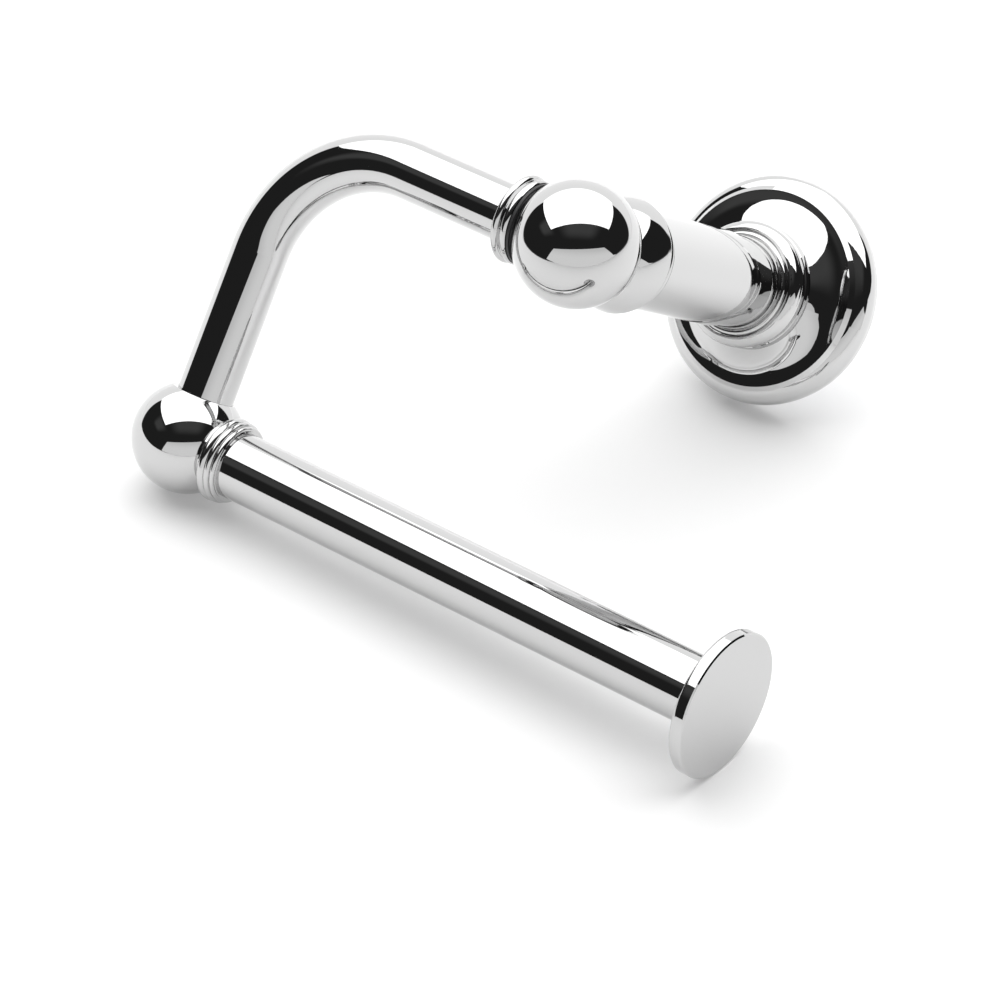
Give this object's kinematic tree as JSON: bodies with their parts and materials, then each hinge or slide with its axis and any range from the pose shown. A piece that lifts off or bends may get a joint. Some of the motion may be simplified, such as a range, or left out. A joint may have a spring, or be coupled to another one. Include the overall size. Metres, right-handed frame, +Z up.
{
  "type": "toilet paper holder",
  "caption": "Wall-mounted toilet paper holder: one post, a bent arm that swings on a ball hub, and an open-ended roll bar with an end disc.",
  "frame": {"origin": "centre of the flange's wall face", "axes": "+X along the roll bar towards its end disc, +Y into the wall, +Z up as it hangs"},
  "size_m": [0.1518, 0.1065, 0.1112],
  "materials": {
    "chrome": "polished",
    "brass": "turned",
    "steel": "plain",
    "bracket_steel": "zinc plated",
    "bush_plastic": "moulded",
    "washer_plastic": "moulded"
  },
  "bodies": {
    "wall_mount": {"wall_bracket": "bracket_steel", "wall_flange": "chrome", "flange_grub_screw": "steel", "flange_washer": "steel", "flange_nut": "steel", "neck_ring": "chrome", "neck_ferrule": "chrome", "post_stud": "steel", "post_rear_plug": "brass", "post_tube": "chrome", "post_front_plug": "brass", "hub_stud": "steel", "cap_ring": "chrome", "post_cap": "chrome", "hub_ball": "chrome", "pivot_bush": "bush_plastic", "thrust_washer": "washer_plastic", "retaining_screw": "steel"},
    "swing_arm": {"pivot_journal": "brass", "arm_collar": "chrome", "arm_tube": "chrome", "leg_plug": "brass", "leg_stud": "steel", "lower_ball": "chrome", "bar_stud": "steel", "bar_collar": "chrome", "bar_root_plug": "brass", "bar_tube": "chrome", "bar_end_plug": "brass", "end_disc": "chrome"}
  },
  "joints": [
    {"name": "arm_swing", "type": "hinge", "parent": "wall_mount", "child": "swing_arm", "pos_m": [-0.006, -0.091, 0], "axis": [-1, 0, 0], "range_deg": [-25, 100]}
  ]
}
